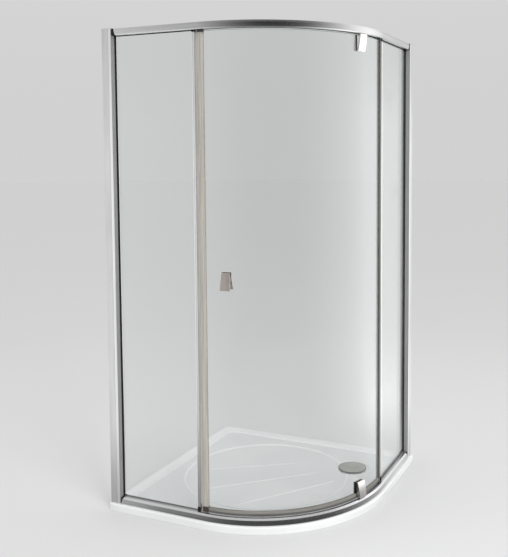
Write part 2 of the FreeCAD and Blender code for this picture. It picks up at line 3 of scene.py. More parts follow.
import bmesh
import bpy
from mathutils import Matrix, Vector


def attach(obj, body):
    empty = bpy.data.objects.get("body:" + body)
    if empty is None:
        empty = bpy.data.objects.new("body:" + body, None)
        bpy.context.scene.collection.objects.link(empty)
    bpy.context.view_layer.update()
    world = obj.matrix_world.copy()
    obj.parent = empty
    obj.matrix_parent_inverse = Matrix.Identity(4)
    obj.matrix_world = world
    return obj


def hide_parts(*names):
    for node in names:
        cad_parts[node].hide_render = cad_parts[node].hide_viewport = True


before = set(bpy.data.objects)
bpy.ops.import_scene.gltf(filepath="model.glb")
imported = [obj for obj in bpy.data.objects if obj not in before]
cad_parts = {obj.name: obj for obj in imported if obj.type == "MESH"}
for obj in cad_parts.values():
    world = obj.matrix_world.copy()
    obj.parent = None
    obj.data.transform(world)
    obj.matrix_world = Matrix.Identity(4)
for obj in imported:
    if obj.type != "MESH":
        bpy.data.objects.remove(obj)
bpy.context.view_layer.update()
print("frame loaded with", len(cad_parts), "nodes")

mm = 0.001

# The line of the frame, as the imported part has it. Lengths are in millimetres, but for the studio.
line = {
    "halfSide": 496.0,
    "face": 484.0,  # the frame's outer face, off the middle
    "radius": 550.0,
    "bendX": -66.0,
    "bendY": 66.0,
    "base": 30.0,  # the tray's rim
    "height": 1900.0,
    "paneMiddle": 24.0,  # inset of every pane's middle
    "bendStep": 1.5,  # degrees between rings round the bend
}
straight = line["halfSide"] + line["bendX"]
bendLength = math.radians(90) * line["radius"]
lineLength = 2 * straight + bendLength


def onLine(along, inset, height):
    # place on the frame's line: distance off the left wall, inwards, above the rim
    z = line["base"] + height
    if along <= straight:
        return Vector((along - line["halfSide"], inset - line["face"], z)) * mm
    if along < straight + bendLength:
        turn = (along - straight) / line["radius"]
        reach = line["radius"] - inset
        x = line["bendX"] + reach * math.sin(turn)
        y = line["bendY"] - reach * math.cos(turn)
        return Vector((x, y, z)) * mm
    rest = along - straight - bendLength
    return Vector((line["face"] - inset, line["bendY"] + rest, z)) * mm


def roundCorners(corners, steps=4):
    # (u, v) or (u, v, radius) corners of a closed loop, with arcs put in
    loop = []
    for i, corner in enumerate(corners):
        here = Vector(corner[:2])
        radius = corner[2] if len(corner) > 2 else 0
        if not radius:
            loop.append(here)
            continue
        before = (Vector(corners[i - 1][:2]) - here).normalized()
        after = (Vector(corners[(i + 1) % len(corners)][:2]) - here).normalized()
        half = before.angle(after) / 2
        reach = radius / math.tan(half)
        start, end = here + before * reach, here + after * reach
        hub = here + (before + after).normalized() * (radius / math.sin(half))
        first, last = start - hub, end - hub
        whole = first.angle(last)
        for k in range(steps + 1):
            share = k / steps
            a = math.sin((1 - share) * whole) / math.sin(whole)
            b = math.sin(share * whole) / math.sin(whole)
            loop.append(hub + first * a + last * b)
    return loop


def places(start, end):
    # the rings of a run: its ends, the ends of the bend, and steps round the bend
    found = [start, end]
    count = round(90 / line["bendStep"])
    for i in range(count + 1):
        place = straight + bendLength * i / count
        if start + 0.5 < place < end - 0.5:
            found.append(place)
    return sorted(found)


def newObject(name, data):
    # put in the scene
    made = bpy.data.objects.new(name, data)
    bpy.context.scene.collection.objects.link(made)
    return made


def makePiece(name, points, faces, uvs, kinds=None, weld=False):
    mesh = bpy.data.meshes.new(name)
    mesh.from_pydata(points, [], faces)
    layer = mesh.uv_layers.new(name="run")
    for i, uv in enumerate(sum(uvs, [])):
        layer.data[i].uv = uv
    for face, kind in zip(mesh.polygons, kinds or []):
        face.material_index = kind
    work = bmesh.new()
    work.from_mesh(mesh)
    if weld:
        bmesh.ops.remove_doubles(work, verts=work.verts, dist=1e-6)
    bmesh.ops.recalc_face_normals(work, faces=work.faces)
    work.to_mesh(mesh)
    work.free()
    return newObject(name, mesh)


def loft(name, rings, lengths, kinds=None):
    # closed skin over rings of points that all have one count; lengths go to the uv map
    count = len(rings[0])
    around = [0.0]
    for i in range(count):
        around.append(around[-1] + (rings[0][(i + 1) % count] - rings[0][i]).length)
    points = [p for ring in rings for p in ring]
    faces, uvs, marks = [], [], []
    for i in range(len(rings) - 1):
        for j in range(count):
            k = (j + 1) % count
            a, b = i * count, (i + 1) * count
            faces.append((a + j, a + k, b + k, b + j))
            u, v = lengths[i] * mm, lengths[i + 1] * mm
            uvs.append([(u, around[j]), (u, around[j + 1]), (v, around[j + 1]), (v, around[j])])
            marks.append(kinds[j] if kinds else 0)
    for ring, first in ((0, 0), (-1, (len(rings) - 1) * count)):
        faces.append(tuple(range(first, first + count)))
        uvs.append([(lengths[ring] * mm + p.z, p.x + p.y) for p in rings[ring]])
        marks.append(max(kinds) if kinds else 0)
    return makePiece(name, points, faces, uvs, marks)


def sweep(name, section, start, end, lean=(0, 0), kinds=None):
    # section in (inset, height) along the frame's line; lean slants the ends, foot and head
    rings, lengths = [], places(start, end)
    top = max(p[1] for p in section)
    for place in lengths:
        ring = []
        for inset, height in section:
            shift = lean[0] + (lean[1] - lean[0]) * height / top
            along = place
            if place == start:
                along = place + shift
            if place == end:
                along = place - shift
            ring.append(onLine(along, inset, height))
        rings.append(ring)
    return loft(name, rings, lengths, kinds)


def stand(name, plan, low, high, kinds=None):
    # upright prism over (along, inset) corners
    rings = [[onLine(p[0], p[1], z) for p in plan] for z in (low, high)]
    return loft(name, rings, [low, high], kinds)


def otherSide(corners, axis=1):
    # the same corners on the other side of the pane's middle, in reverse order
    other = []
    for corner in reversed(corners):
        twin = list(corner)
        twin[axis] = 2 * line["paneMiddle"] - corner[axis]
        other.append(tuple(twin))
    return other


def kindsOf(section, test):
    # which finish each side of a section has, by the middle of the side
    ahead = section[1:] + section[:1]
    return [int(test((here + after) / 2)) for here, after in zip(section, ahead)]


def mirrored(piece, name, headOver=False, wallOver=False):
    # the same piece at the frame's head or on the right-hand wall
    mesh = piece.data.copy()
    mesh.name = name
    top = (2 * line["base"] + line["height"]) * mm
    for point in mesh.vertices:
        x, y, z = point.co
        if wallOver:
            x, y = -y, -x
        if headOver:
            z = top - z
        point.co = (x, y, z)
    if headOver != wallOver:
        mesh.flip_normals()
    return newObject(name, mesh)


def lifted(piece, name):
    # moved to the frame's head
    twin = mirrored(piece, name, headOver=True)
    bpy.data.objects.remove(piece)
    return twin


def dress(piece, finishes, body, nodes, slotName, bevel=0.0, segments=2, sharp=35):
    # shading, edge rounding, finish and the body that carries the piece
    piece.data.shade_smooth()
    piece.data.set_sharp_from_angle(angle=math.radians(sharp))
    if bevel:
        rounding = piece.modifiers.new("edges", "BEVEL")
        rounding.width = bevel * mm
        rounding.segments = segments
        rounding.limit_method = "ANGLE"
        rounding.angle_limit = math.radians(sharp)
        rounding.miter_outer = "MITER_ARC"
        rounding.material = len(finishes) - 1 if len(finishes) > 1 else -1
    weighing = piece.modifiers.new("normals", "WEIGHTED_NORMAL")
    weighing.keep_sharp = True
    kinds = [face.material_index for face in piece.data.polygons]
    piece.data.materials.clear()
    for finish in finishes:
        piece.data.materials.append(finish)
    piece.data.polygons.foreach_set("material_index", kinds)
    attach(piece, body)
    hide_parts(*nodes)


def dressPair(left, name, finishes, node, slotName, **settings):
    # a piece on the left wall and its twin on the right
    right = mirrored(left, name + "Right", wallOver=True)
    for piece, side in ((left, "_left"), (right, "_right")):
        dress(piece, finishes, "enclosure", [node + side], slotName, **settings)


def standPair(name, plan, low, high, finishes, node, slotName, kinds=None, sharp=35):
    left = stand(name + "Left", plan, low, high, kinds)
    dressPair(left, name, finishes, node, slotName, sharp=sharp)


def operatorFor(operation, swapped=False):
    def work(self, other):
        return self.maths(operation, *((other, self) if swapped else (self, other)))
    return work


class Signal:
    # a shader socket that takes part in sums; every operator adds one Math node
    def __init__(self, tree, socket):
        self.tree = tree
        self.socket = socket

    def maths(self, operation, first, second):
        node = self.tree.nodes.new("ShaderNodeMath")
        node.operation = operation
        for place, value in zip(node.inputs, (first, second)):
            if isinstance(value, Signal):
                self.tree.links.new(value.socket, place)
            else:
                place.default_value = value
        return Signal(self.tree, node.outputs[0])

    __add__, __radd__ = operatorFor("ADD"), operatorFor("ADD", True)
    __sub__, __rsub__ = operatorFor("SUBTRACT"), operatorFor("SUBTRACT", True)
    __mul__, __rmul__ = operatorFor("MULTIPLY"), operatorFor("MULTIPLY", True)
    __pow__ = operatorFor("POWER")


class Finish:
    # the nodes of one material, or of the world
    def __init__(self, name, owner=None):
        self.owner = owner or bpy.data.materials.new(name)
        self.owner.use_nodes = True
        self.tree = self.owner.node_tree
        self.tree.nodes.clear()

    def add(self, kind, settings=None, values=None, out=0):
        # any node: its type, then its settings, then what goes into its sockets
        node = self.tree.nodes.new("ShaderNode" + kind)
        for key, setting in (settings or {}).items():
            if key == "stops":
                while len(node.color_ramp.elements) < len(setting):
                    node.color_ramp.elements.new(0.5)
                for stop, (place, colour) in zip(node.color_ramp.elements, setting):
                    stop.position = place
                    stop.color = (*colour, 1)
            else:
                setattr(node, key, setting)
        for key, value in (values or {}).items():
            place = node.inputs[key]
            if isinstance(value, Signal):
                self.tree.links.new(value.socket, place)
            else:
                place.default_value = value
        return Signal(self.tree, node.outputs[out] if len(node.outputs) else None)

    def spot(self):
        # a place in the piece's own space
        return self.add("TexCoord", out=3)

    def where(self, stretch, along=True):
        # the run of a swept piece, or the piece's own space, stretched
        spot = self.add("UVMap", {"uv_map": "run"}) if along else self.spot()
        return self.vector("MULTIPLY", {0: spot, 1: stretch})

    def vector(self, operation, values, out=0):
        return self.add("VectorMath", {"operation": operation}, values, out)

    def skin(self, values):
        return self.add("BsdfPrincipled", {}, values)

    def noise(self, spot, scale, detail=3.0, roughness=0.55):
        return self.add("TexNoise", {}, {"Vector": spot, "Scale": scale, "Detail": detail,
                                         "Roughness": roughness})

    def ramp(self, value, low, high, dark=0.0, light=1.0):
        return self.add("MapRange", {"interpolation_type": "SMOOTHSTEP"},
                        {"Value": value, "From Min": low, "From Max": high,
                         "To Min": dark, "To Max": light})

    def tint(self, share, first, second):
        # two colours mixed by a mask
        return self.add("Mix", {"data_type": "RGBA"},
                        {0: share, 6: (*first, 1), 7: (*second, 1)}, out=2)

    def bump(self, height, strength, distance):
        return self.add("Bump", {}, {"Height": height, "Strength": strength,
                                     "Distance": distance})

    def close(self, shader, kind="OutputMaterial"):
        self.add(kind, {}, {"Surface": shader})
        return self.owner

    def closeClear(self, share, through, shader):
        # the shader covers a share; the rest of the light goes through with a tint
        clear = self.add("BsdfTransparent", {}, {"Color": (*through, 1)})
        return self.close(self.add("MixShader", {}, {0: share, 1: clear, 2: shader}))


def satinMetal(name, settings):
    # extruded or rolled metal: long streaks, fine grain, a slow change of tone
    f = Finish(name)
    run, along = settings["run"], settings["along"]
    streak = f.ramp(f.noise(f.where(run["streak"], along), 1.0, 4.0, 0.6), 0.3, 0.72)
    grain = f.noise(f.where(run["grain"], along), 1.0, 2.0)
    tone = f.ramp(f.noise(f.where(run["tone"], along), 1.0, 2.0), 0.32, 0.68)
    mask = streak * 0.55 + tone * 0.45
    return f.close(f.skin({
        "Base Color": f.tint(mask, settings["dark"], settings["light"]),
        "Metallic": 1.0,
        "Roughness": settings["rough"] + (grain - 0.5) * settings["roughSpread"] + tone * 0.04,
        "Normal": f.bump(grain + streak * 0.5, settings["bump"], 0.0002),
    }))


aluminium = {
    "dark": (0.50, 0.50, 0.51),
    "light": (0.66, 0.66, 0.665),
    "rough": 0.24,
    "roughSpread": 0.12,
    "bump": 0.12,
    "along": True,
    "run": {"streak": (3.5, 260, 1), "grain": (60, 2600, 1), "tone": (1.3, 30, 1)},
}
satinAluminium = satinMetal("satinAluminium", aluminium)
aluminiumPart = {
    **aluminium,
    "along": False,
    "run": {"streak": (60, 60, 4), "grain": (900, 900, 40), "tone": (6, 6, 2)},
}
satinAluminiumPart = satinMetal("satinAluminiumPart", aluminiumPart)
# painted highlight: a lighter copy of the satin aluminium for the stiles
uprightPaintedLight = satinMetal("uprightPaintedLight", {
    **aluminium, "dark": (0.70, 0.70, 0.70), "light": (0.86, 0.86, 0.86), "rough": 0.3})
postAluminium = satinMetal("postAluminium", {
    **aluminium, "dark": (0.86, 0.86, 0.85), "light": (0.96, 0.96, 0.95), "rough": 0.32})
wallAluminium = satinMetal("wallAluminium", {
    **aluminiumPart, "dark": (0.54, 0.54, 0.54), "light": (0.66, 0.66, 0.66), "rough": 0.32})

chrome = {
    "dark": (0.66, 0.64, 0.62),
    "light": (0.80, 0.78, 0.76),
    "rough": 0.17,
    "roughSpread": 0.10,
    "bump": 0.05,
    "along": False,
    "run": {"streak": (70, 70, 12), "grain": (1500, 1500, 160), "tone": (14, 14, 14)},
}
satinChrome = satinMetal("satinChrome", chrome)
warmChrome = satinMetal("warmChrome", {
    **chrome, "dark": (0.80, 0.71, 0.66), "light": (0.93, 0.85, 0.80), "rough": 0.26})
plainSteel = satinMetal("plainSteel", {
    **chrome, "dark": (0.46, 0.46, 0.46), "light": (0.62, 0.62, 0.62), "rough": 0.3})


waste = {
    "x": 283.0,
    "y": 248.0,
    "grainPitch": 1400.0,
    "sumpRadius": 74.0,
    "sumpLow": 19.0,
    "holeRadius": 45.0,
    # soft lip of the recess: beyond its radius, height
    "lip": ((0.0, 21.0), (0.5, 22.8), (1.2, 24.0), (2.6, 25.0), (4.5, 25.6)),
    "above": (14.0, 27.5, 34.0),  # the cutter over the lip: beyond, from height, to height
}


def spunSteel(name, settings):
    # turned disc: rings of grain about its middle
    f = Finish(name)
    spot = f.spot()
    middle = (waste["x"] * mm, waste["y"] * mm, 0)
    off = f.vector("SUBTRACT", {0: spot, 1: middle})
    flat = f.vector("MULTIPLY", {0: off, 1: (1, 1, 0)})
    reach = f.vector("LENGTH", {0: flat}, out=1)
    rings = f.add("TexNoise", {"noise_dimensions": "1D"},
                  {"W": reach * waste["grainPitch"], "Scale": 1.0, "Detail": 3.0})
    cloud = f.ramp(f.noise(spot, 22.0), 0.3, 0.7)
    return f.close(f.skin({
        "Base Color": f.tint(rings * 0.6 + cloud * 0.4, settings["dark"], settings["light"]),
        "Metallic": 1.0,
        "Roughness": 0.3 + (rings - 0.5) * 0.2 + cloud * 0.05,
        "Normal": f.bump(rings, 0.15, 0.0002),
    }))


satinSteel = spunSteel("satinSteel", {
    "dark": (0.42, 0.44, 0.40),
    "light": (0.57, 0.59, 0.55),
})
# painted shade: dark steel on the cover's rim, where the gap round the cover lies in shade
rimPaintedShade = spunSteel("rimPaintedShade", {
    "dark": (0.10, 0.105, 0.10),
    "light": (0.17, 0.175, 0.165),
})


def castWhite(name, settings):
    # mineral cast: white, faint clouding, a skin that is smooth but not flat
    f = Finish(name)
    spot = f.spot()
    cloud = f.ramp(f.noise(spot, 3.5, 4.0), 0.35, 0.7)
    speck = f.noise(spot, 420.0, 2.0)
    skin = f.noise(spot, 26.0)
    return f.close(f.skin({
        "Base Color": f.tint(cloud, settings["shade"], settings["white"]),
        "Roughness": 0.2 + (speck - 0.5) * 0.1 + cloud * 0.05,
        "Coat Weight": 0.35 + cloud * 0.2,
        "Coat Roughness": 0.08,
        "Normal": f.bump(skin * 0.8 + speck * 0.2, 0.06, 0.001),
    }))


trayWhite = castWhite("trayWhite", {
    "shade": (0.84, 0.85, 0.85),
    "white": (0.90, 0.91, 0.91),
})
# painted shade: a duller copy of the tray white for the flat floors
trayPaintedShade = castWhite("trayPaintedShade", {
    "shade": (0.735, 0.745, 0.75),
    "white": (0.79, 0.80, 0.80),
})


def matt(name, settings):
    # moulded rubber or plastic with a fine pitted skin
    f = Finish(name)
    spot = f.spot()
    pits = f.noise(spot, settings["grain"])
    cloud = f.noise(spot, 9.0)
    return f.close(f.skin({
        "Base Color": f.tint(cloud, settings["dark"], settings["light"]),
        "Roughness": settings["rough"] + (pits - 0.5) * 0.2,
        "Specular IOR Level": settings["shine"],
        "Normal": f.bump(pits, 0.2, 0.0002),
    }))


blackRubber = matt("blackRubber", {
    "dark": (0.008, 0.008, 0.008),
    "light": (0.024, 0.023, 0.022),
    "rough": 0.6,
    "shine": 0.2,
    "grain": 900.0,
})
greyPlastic = matt("greyPlastic", {
    "dark": (0.42, 0.42, 0.43),
    "light": (0.52, 0.52, 0.53),
    "rough": 0.42,
    "shine": 0.5,
    "grain": 700.0,
})
# painted shade: flat matt grey for the stile's side faces, darker than its satin front
flankPaintedShade = matt("flankPaintedShade", {
    "dark": (0.27, 0.27, 0.27),
    "light": (0.33, 0.33, 0.33),
    "rough": 0.6,
    "shine": 0.5,
    "grain": 700.0,
})
# its grey colours are a painted highlight on the lower rail lips, which are black rubber like the
# upper ones
lipRubber = {
    "dark": (0.17, 0.17, 0.17),
    "light": (0.25, 0.25, 0.245),
    "rough": 0.5,
    "shine": 0.5,
    "grain": 800.0,
}
lipPaintedLight = matt("lipPaintedLight", lipRubber)
darkEnd = matt("darkEnd", {
    **lipRubber, "dark": (0.035, 0.028, 0.022), "light": (0.075, 0.062, 0.052)})


def sheer(name, settings):
    # soft clear plastic: partly seen through, more at some places than at others
    f = Finish(name)
    cloud = f.ramp(f.noise(f.where(settings["stretch"]), 1.0), 0.3, 0.7)
    solid = f.skin({
        "Base Color": f.tint(cloud, settings["dark"], settings["light"]),
        "Roughness": settings["rough"] + (cloud - 0.5) * 0.12,
        "Normal": f.bump(cloud, 0.08, 0.0004),
    })
    share = settings["solid"] + (cloud - 0.5) * 0.08
    return f.closeClear(share, settings["through"], solid)


clampPlastic = sheer("clampPlastic", {
    "stretch": (3, 260, 1),
    "dark": (0.59, 0.56, 0.51),
    "light": (0.79, 0.755, 0.705),
    "through": (0.90, 0.88, 0.84),
    "rough": 0.3,
    "solid": 0.52,
})
seal = {
    "stretch": (4, 200, 1),
    "dark": (0.30, 0.29, 0.265),
    "light": (0.40, 0.39, 0.36),
    "through": (0.85, 0.84, 0.8),
    "rough": 0.4,
    "solid": 0.66,
}
softSeal = sheer("softSeal", seal)
softFin = sheer("softFin", {
    **seal, "solid": 0.85, "dark": (0.11, 0.11, 0.105), "light": (0.19, 0.185, 0.18)})
stripSeal = sheer("stripSeal", {
    **seal, "solid": 0.7, "dark": (0.56, 0.55, 0.53), "light": (0.69, 0.68, 0.655)})
tailPlastic = sheer("tailPlastic", {
    **seal, "stretch": (3, 260, 1), "solid": 0.82, "dark": (0.10, 0.094, 0.084),
    "light": (0.18, 0.17, 0.155)})


def paneFinish(name, settings):
    # clear pane: light goes through, more mirrors at a slant, and a faint film of lime
    f = Finish(name)
    facing = f.add("LayerWeight", {}, {"Blend": 0.5}, out=1)
    mirrorShare = 0.04 + 0.96 * facing ** 5
    film = f.ramp(f.noise(f.spot(), settings["filmScale"], 5.0, 0.65), 0.52, 0.8)
    mirror = f.skin({
        "Base Color": f.tint(film, settings["mirror"], settings["filmColour"]),
        "Metallic": 1.0,
        "Roughness": 0.015 + film * 0.1,
    })
    return f.closeClear(mirrorShare + film * settings["film"], settings["through"], mirror)


def paneEdge(name, settings):
    # ground edge of a pane: darker, green, a little clear
    f = Finish(name)
    grind = f.noise(f.spot(), 260.0)
    solid = f.skin({
        "Base Color": f.tint(grind, settings["dark"], settings["light"]),
        "Roughness": 0.22 + grind * 0.2,
        "Normal": f.bump(grind, 0.1, 0.0003),
    })
    return f.closeClear(0.6 + grind * 0.1, settings["through"], solid)


clearPane = paneFinish("clearPane", {
    "through": (0.943, 0.949, 0.948),
    "mirror": (0.92, 0.94, 0.94),
    "filmColour": (0.8, 0.82, 0.82),
    "filmScale": 5.0,
    "film": 0.012,
})
groundEdge = paneEdge("groundEdge", {
    "dark": (0.10, 0.20, 0.17),
    "light": (0.20, 0.34, 0.30),
    "through": (0.62, 0.80, 0.74),
})
print("finishes made:", len(bpy.data.materials))


rail = {
    "start": 46.6,
    "height": 26.0,
    "lean": 1.5,
    "chamfer": 6.5,  # flat between the face and the nose's top
    "headChamfer": 3.5,
    "nose": 16.0,
    "floor": 8.0,
    "far": 32.0,
    "depth": 35.0,
    "footHigh": 0.9,
    "footDeep": 0.7,
    "bevelHigh": 8.0,  # lean-back of the head rail's upper edge
    "bevelDeep": 2.0,
    "corner": 0.5,
    "endFoot": 1.0,
    "endHead": 9.0,
}


def railSection(bevelled):
    r = rail
    high, nose, far, depth, corner = r["height"], r["nose"], r["far"], r["depth"], r["corner"]
    chamfer = r["headChamfer" if bevelled else "chamfer"]
    turn = high - chamfer

    def front(height):
        return r["lean"] * height / high

    if bevelled:
        foot = [(r["bevelDeep"], 0, 0.4), (front(r["bevelHigh"]), r["bevelHigh"], 0.6)]
    else:
        foot = [(r["footDeep"], 0), (r["footDeep"], r["footHigh"]),
                (front(r["footHigh"]), r["footHigh"] + 0.3, 0.2)]
    return roundCorners(foot + [
        (front(turn), turn, 0.7), (front(turn) + chamfer, high, 0.9), (nose, high, corner),
        (nose, r["floor"]), (far, r["floor"]), (far, high, corner), (depth, high, corner),
        (depth, 0, corner)], 4)


for name, node, atHead in (("sillRail", "bottom_rail", False), ("headRail", "top_rail", True)):
    piece = sweep(name, railSection(atHead), rail["start"], lineLength - rail["start"],
                  lean=(rail["endFoot"], rail["endHead"]))
    if atHead:
        piece = lifted(piece, "headRailBent")
    dress(piece, [satinAluminium], "enclosure", [node], "satin_aluminium", sharp=28)

headCap = {
    "start": 46.4,
    "upperEnd": 54.6,
    "paneEnd": 61.0,
    "proud": 0.3,
}


def headCapSection():
    # the head rail's nose, a hair larger
    proud, nose, half = headCap["proud"], rail["nose"], rail["height"] / 2
    made = []
    for inset, height in railSection(True):
        if inset <= nose and (inset < nose or height > rail["floor"]):
            grown = height + proud if height > half else height
            made.append((min(inset - proud, nose - proud), grown))
    return made + [(nose, rail["height"] + proud), (nose, -proud), (made[0][0], -proud)]


def makeHeadCap():
    # black cap on the head rail's end; it widens towards the pane
    c = headCap
    slant = (c["paneEnd"] - c["upperEnd"]) / rail["height"]
    rings = [[onLine(start + lean * height, inset, height) for inset, height in headCapSection()]
             for start, lean in ((c["start"], 0), (c["upperEnd"], slant))]
    return loft("headCapFlat", rings, [0, c["paneEnd"] - c["start"]])


left = lifted(makeHeadCap(), "headCapLeft")
for piece in (left, mirrored(left, "headCapRight", wallOver=True)):
    dress(piece, [blackRubber], "enclosure", ["top_rail"], "black_rubber")

lip = {
    "low": 9.0,
    "start": 55.6,
    "end": 396.3,
    "high": 27.9,  # barely above the rail
    "edge": 26.3,
    "wall": 16.05,
    "tip": 20.1,
    "face": 20.97,
}


def railLips():
    # soft lips that press on both faces of the fixed pane in the rail's channel
    g = lip
    outer = [(g["wall"], g["low"]), (g["face"], g["low"]), (g["face"], g["high"], 0.3),
             (g["tip"], g["high"], 0.3), (g["wall"], g["edge"], 0.2)]
    return ("Outer", roundCorners(outer, 3)), ("Inner", roundCorners(otherSide(outer, 0), 3))


for lipName, section in railLips():
    lowLeft = sweep("railLip" + lipName + "BottomLeft", section, lip["start"], lip["end"])
    for headOver, end in ((False, "Bottom"), (True, "Top")):
        for wallOver, side in ((False, "Left"), (True, "Right")):
            piece = lowLeft
            if headOver or wallOver:
                piece = mirrored(lowLeft, "railLip" + lipName + end + side, headOver, wallOver)
            # the lower lips are lighter grey: painted highlight on black rubber
            finish = blackRubber if headOver else lipPaintedLight
            dress(piece, [finish], "enclosure",
                  ["rail_gasket_" + end.lower() + "_" + side.lower()], "black_rubber")
print("rails made")


upright = {
    "wallWide": 30.0,
    "gap": 0.3,
    "face": 43.8,
    "end": 46.3,
    "pocketStart": 33.0,  # the pane's pocket
    "pocketNear": 19.0,
    "pocketFar": 29.0,
    "depth": 35.0,
    "corner": 0.6,
    "outerRound": 1.6,
    "lipStart": 33.3,
    "lipShows": 4.0,  # black lip beside the stile
    "tongueStart": 3.2,
    "tongueNear": 2.2,
    "tongueFar": 32.8,
    "tongueThick": 2,
}


def stilePlan():
    u = upright
    start = u["wallWide"] + u["gap"]
    return roundCorners([
        (start, 0, 0.5), (u["face"], 0, u["outerRound"]), (u["end"], u["pocketNear"], 0.4),
        (u["pocketStart"], u["pocketNear"]), (u["pocketStart"], u["pocketFar"]),
        (u["end"], u["pocketFar"], 0.4), (u["end"], u["depth"], u["corner"]),
        (start, u["depth"], 0.5)], 4)


def tonguePlan():
    # the two legs that slide in the wall profile
    u = upright
    start, end = u["tongueStart"], u["wallWide"] + u["gap"] + 0.4
    near, far, thick = u["tongueNear"], u["tongueFar"], u["tongueThick"]
    return [(start, near), (end, near), (end, far), (start, far), (start, far - thick),
            (end - thick, far - thick), (end - thick, near + thick), (start, near + thick)]


def lipPlans():
    # lips of the black channel round the pane's edge
    u = upright
    near, start, end = u["pocketNear"], u["lipStart"], u["end"] + u["lipShows"]
    outer = [(start, near), (end - 1.2, near, 0.5), (end, near + 1.3, 0.4), (end, lip["face"]),
             (start, lip["face"])]
    # the inner lip is a little shorter
    inner = otherSide([(start, near), (end - 2, near, 0.5), (end - 1, near + 1.3, 0.4),
                       (end - 1, lip["face"]), (start, lip["face"])])
    return ("paneLipOuter", roundCorners(outer, 3)), ("paneLipInner", roundCorners(inner, 3))


# the stile's side faces take the painted shade
shadedFlankKinds = kindsOf(stilePlan(), lambda middle: middle.x > upright["face"] and 1.5 < middle.y < 18.5)
standPair("stile", stilePlan(), 0, line["height"], [uprightPaintedLight, flankPaintedShade], "frame_stile",
          "satin_aluminium", shadedFlankKinds, sharp=25)
for name, plan in lipPlans():
    standPair(name, plan, rail["height"], line["height"] - rail["height"], [blackRubber],
              "stile_gasket", "black_rubber")
standPair("stileTongue", tonguePlan(), 0, line["height"], [satinAluminium], "frame_stile",
          "satin_aluminium")
print("uprights made")


pane = {
    "near": 21.0,
    "far": 27.0,
    "fixedStart": 33.3,
    "fixedEnd": 405.3,
    "fixedLow": 12.0,
    "doorStart": 423.2,
    "doorEnd": 1303.44,
    "doorLow": 30.0,
}


def makePane(name, start, end, low):
    # near face first, so that the wide faces are clear and the narrow ones ground
    near, far, high = pane["near"], pane["far"], line["height"] - low
    loop = [(near, low), (near, high), (far, high), (far, low)]
    return sweep(name, loop, start, end, kinds=[0, 1, 0, 1])


arris = {"bevel": 0.8, "segments": 1, "sharp": 60}
left = makePane("fixedPaneLeft", pane["fixedStart"], pane["fixedEnd"], pane["fixedLow"])
dressPair(left, "fixedPane", [clearPane, groundEdge], "fixed_glass", "clear_glass", **arris)
piece = makePane("doorPane", pane["doorStart"], pane["doorEnd"], pane["doorLow"])
dress(piece, [clearPane, groundEdge], "door", ["door_glass"], "clear_glass", **arris)
print("panes made")


post = {
    "start": 396.3,
    "end": 409.3,
    "near": 17.0,
    "far": 31.0,
    "low": 8.0,
    "pocketEnd": 404.0,
    "groove": 5,  # fine line down the face, from the start
}
edgeProfile = {
    "start": 418.7,
    "end": 443.7,
    "near": 17.5,
    "low": 28.0,
    "tailEnd": 1307.94,
    "tailWide": 14.0,
    "legNear": 18.9,  # the thinner legs on the pane
    "noseEnd": 431.0,
}


def postPlan():
    start, end, near, far = post["start"], post["end"], post["near"], post["far"]
    groove, pocket = start + post["groove"], post["pocketEnd"]
    pocketNear, pocketFar = pane["near"] - 0.05, pane["far"] + 0.05
    return roundCorners([
        (start, near + 1.6, 0.8), (start + 2, near, 0.8), (groove, near, 0.2),
        (groove + 0.5, near + 0.6), (groove + 1.1, near, 0.2), (end, near, 1.2), (end, far, 1.2),
        (start + 2, far, 0.8), (start, far - 1.6, 0.8), (start, pocketFar), (pocket, pocketFar),
        (pocket, pocketNear), (start, pocketNear)], 3)


standPair("post", postPlan(), post["low"], line["height"] - post["low"], [postAluminium], "post",
          "satin_aluminium", sharp=25)


def closingPlan():
    # nose round the pane's edge, then thin legs that lie on both faces
    e = edgeProfile
    near, start, end, nose = e["near"], e["start"], e["end"], e["noseEnd"]
    face = pane["near"] - 0.02
    half = [(start, near + 1.5, 1.2), (start + 2.5, near, 1.5), (nose, near, 0.8),
            (nose + 1.5, e["legNear"], 0.8), (end, e["legNear"] + 0.6, 0.5), (end, face),
            (pane["doorStart"] - 0.1, face)]
    return roundCorners(half + otherSide(half), 3)


def bendStand(name, plan, low, high, longest=6):
    # as stand, with the long sides cut finer so that they follow the bend
    fine = []
    for i, here in enumerate(plan):
        after = plan[(i + 1) % len(plan)]
        count = max(1, round((after - here).length / longest))
        fine += [here.lerp(after, k / count) for k in range(count)]
    return stand(name, fine, low, high)


low, high = edgeProfile["low"], line["height"] - edgeProfile["low"]
piece = bendStand("closingProfile", closingPlan(), low, high)
dress(piece, [clampPlastic], "door", ["door_closing_profile"], "clamp_profile", sharp=25)
tail = []
for point in closingPlan():
    beyond = min(point[0] - edgeProfile["start"], edgeProfile["tailWide"])
    tail.append(Vector((edgeProfile["tailEnd"] - beyond, point[1])))
piece = bendStand("tailProfile", tail, low, high)
dress(piece, [tailPlastic], "door", ["door_tail_profile"], "clamp_profile", sharp=25)

edgeSeal = {
    "postStart": 409.3,
    "postEnd": 413.8,
    "magnetStart": 414.2,
    "magnetEnd": 418.7,
    "near": 19.0,
    "low": 28.0,
    "round": 1.0,
    "footHigh": 30.0,  # dark block at the strip's foot, painted shade of the gap there
}


def sealPlan(start, end):
    near, middle = edgeSeal["near"], line["paneMiddle"]
    half = [(start, near, 0.2), (end, near, edgeSeal["round"]), (end, middle - 1.2, 0.5)]
    return roundCorners(half + [(end - 0.5, middle, 0.5)] + otherSide(half), 3)


